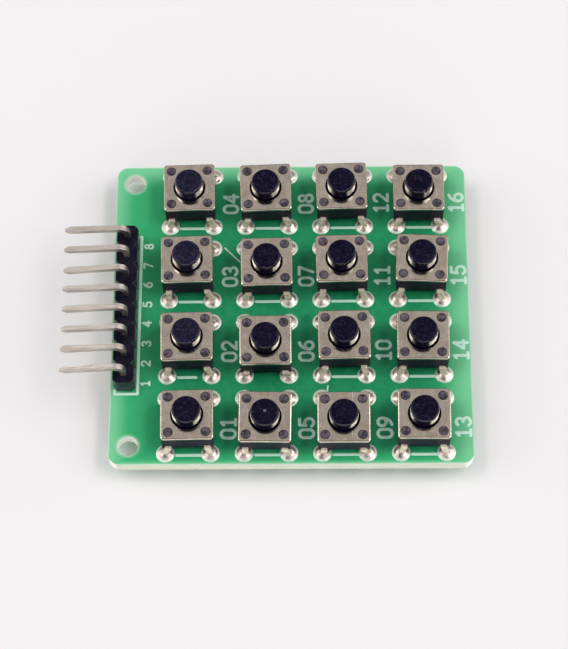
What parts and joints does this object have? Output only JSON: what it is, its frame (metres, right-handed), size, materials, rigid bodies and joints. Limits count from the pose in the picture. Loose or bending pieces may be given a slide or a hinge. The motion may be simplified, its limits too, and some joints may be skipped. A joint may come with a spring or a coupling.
{
  "type": "matrix keypad",
  "caption": "Green circuit board with a grid of low round-button tactile switches and a bent pin header along one edge.",
  "frame": {"origin": "midway between the two mounting holes, on the board's underside", "axes": "+X from the pin header to the far column of keys, +Y to the back row of keys, +Z out of the keys"},
  "size_m": [0.0478, 0.0386, 0.0091],
  "materials": {
    "board": "green solder mask over a pale laminate, white printing",
    "base_plastic": "moulded black, satin",
    "cover_steel": "satin stamped plate with worn bright edges",
    "plunger_plastic": "black, fine speckled top and glossy side",
    "dome_steel": "bright spring sheet",
    "terminal_brass": "tinned brass, dull",
    "solder": "bright solder",
    "header_plastic": "moulded black",
    "pin_metal": "tinned, dull grey"
  },
  "bodies": {
    "keypad": {"circuit_board": "board", "switch_base_01": "base_plastic", "switch_base_02": "base_plastic", "switch_base_03": "base_plastic", "switch_base_04": "base_plastic", "switch_base_05": "base_plastic", "switch_base_06": "base_plastic", "switch_base_07": "base_plastic", "switch_base_08": "base_plastic", "switch_base_09": "base_plastic", "switch_base_10": "base_plastic", "switch_base_11": "base_plastic", "switch_base_12": "base_plastic", "switch_base_13": "base_plastic", "switch_base_14": "base_plastic", "switch_base_15": "base_plastic", "switch_base_16": "base_plastic", "cover_plate_01": "cover_steel", "cover_plate_02": "cover_steel", "cover_plate_03": "cover_steel", "cover_plate_04": "cover_steel", "cover_plate_05": "cover_steel", "cover_plate_06": "cover_steel", "cover_plate_07": "cover_steel", "cover_plate_08": "cover_steel", "cover_plate_09": "cover_steel", "cover_plate_10": "cover_steel", "cover_plate_11": "cover_steel", "cover_plate_12": "cover_steel", "cover_plate_13": "cover_steel", "cover_plate_14": "cover_steel", "cover_plate_15": "cover_steel", "cover_plate_16": "cover_steel", "snap_domes": "dome_steel", "centre_terminals": "terminal_brass", "rim_terminals": "terminal_brass", "switch_solder": "solder", "header_body": "header_plastic", "header_pins": "pin_metal", "header_solder": "solder"},
    "key_01": {"plunger_01": "plunger_plastic"},
    "key_02": {"plunger_02": "plunger_plastic"},
    "key_03": {"plunger_03": "plunger_plastic"},
    "key_04": {"plunger_04": "plunger_plastic"},
    "key_05": {"plunger_05": "plunger_plastic"},
    "key_06": {"plunger_06": "plunger_plastic"},
    "key_07": {"plunger_07": "plunger_plastic"},
    "key_08": {"plunger_08": "plunger_plastic"},
    "key_09": {"plunger_09": "plunger_plastic"},
    "key_10": {"plunger_10": "plunger_plastic"},
    "key_11": {"plunger_11": "plunger_plastic"},
    "key_12": {"plunger_12": "plunger_plastic"},
    "key_13": {"plunger_13": "plunger_plastic"},
    "key_14": {"plunger_14": "plunger_plastic"},
    "key_15": {"plunger_15": "plunger_plastic"},
    "key_16": {"plunger_16": "plunger_plastic"}
  },
  "joints": [
    {"name": "press_01", "type": "slide", "parent": "keypad", "child": "key_01", "axis": [-0.0002, 0.0087, -1], "range_m": [0, 0.00025], "stiffness_N_per_m": 6000, "deforming": ["snap_domes"]},
    {"name": "press_02", "type": "slide", "parent": "keypad", "child": "key_02", "axis": [-0.0003, 0.0174, -0.9998], "range_m": [0, 0.00025], "stiffness_N_per_m": 6000, "deforming": ["snap_domes"]},
    {"name": "press_03", "type": "slide", "parent": "keypad", "child": "key_03", "axis": [0.0002, -0.0087, -1], "range_m": [0, 0.00025], "stiffness_N_per_m": 6000, "deforming": ["snap_domes"]},
    {"name": "press_04", "type": "slide", "parent": "keypad", "child": "key_04", "axis": [-0.0005, 0.0174, -0.9998], "range_m": [0, 0.00025], "stiffness_N_per_m": 6000, "deforming": ["snap_domes"]},
    {"name": "press_05", "type": "slide", "parent": "keypad", "child": "key_05", "axis": [0.0009, 0.0523, -0.9986], "range_m": [0, 0.00025], "stiffness_N_per_m": 6000, "deforming": ["snap_domes"]},
    {"name": "press_06", "type": "slide", "parent": "keypad", "child": "key_06", "axis": [-0.0005, 0.0523, -0.9986], "range_m": [0, 0.00025], "stiffness_N_per_m": 6000, "deforming": ["snap_domes"]},
    {"name": "press_07", "type": "slide", "parent": "keypad", "child": "key_07", "axis": [-0.0006, 0.0349, -0.9994], "range_m": [0, 0.00025], "stiffness_N_per_m": 6000, "deforming": ["snap_domes"]},
    {"name": "press_08", "type": "slide", "parent": "keypad", "child": "key_08", "axis": [-0.0012, 0.0349, -0.9994], "range_m": [0, 0.00025], "stiffness_N_per_m": 6000, "deforming": ["snap_domes"]},
    {"name": "press_09", "type": "slide", "parent": "keypad", "child": "key_09", "axis": [0, 0.0436, -0.999], "range_m": [0, 0.00025], "stiffness_N_per_m": 6000, "deforming": ["snap_domes"]},
    {"name": "press_10", "type": "slide", "parent": "keypad", "child": "key_10", "axis": [-0.0002, 0.0087, -1], "range_m": [0, 0.00025], "stiffness_N_per_m": 6000, "deforming": ["snap_domes"]},
    {"name": "press_11", "type": "slide", "parent": "keypad", "child": "key_11", "axis": [-0.0002, 0.0087, -1], "range_m": [0, 0.00025], "stiffness_N_per_m": 6000, "deforming": ["snap_domes"]},
    {"name": "press_12", "type": "slide", "parent": "keypad", "child": "key_12", "axis": [-0.0005, 0.0174, -0.9998], "range_m": [0, 0.00025], "stiffness_N_per_m": 6000, "deforming": ["snap_domes"]},
    {"name": "press_13", "type": "slide", "parent": "keypad", "child": "key_13", "axis": [0.0002, 0.0262, -0.9997], "range_m": [0, 0.00025], "stiffness_N_per_m": 6000, "deforming": ["snap_domes"]},
    {"name": "press_14", "type": "slide", "parent": "keypad", "child": "key_14", "axis": [0.0002, 0.0175, -0.9998], "range_m": [0, 0.00025], "stiffness_N_per_m": 6000, "deforming": ["snap_domes"]},
    {"name": "press_15", "type": "slide", "parent": "keypad", "child": "key_15", "axis": [0.0004, 0.0087, -1], "range_m": [0, 0.00025], "stiffness_N_per_m": 6000, "deforming": ["snap_domes"]},
    {"name": "press_16", "type": "slide", "parent": "keypad", "child": "key_16", "axis": [0, 0, -1], "range_m": [0, 0.00025], "stiffness_N_per_m": 6000, "deforming": ["snap_domes"]}
  ]
}
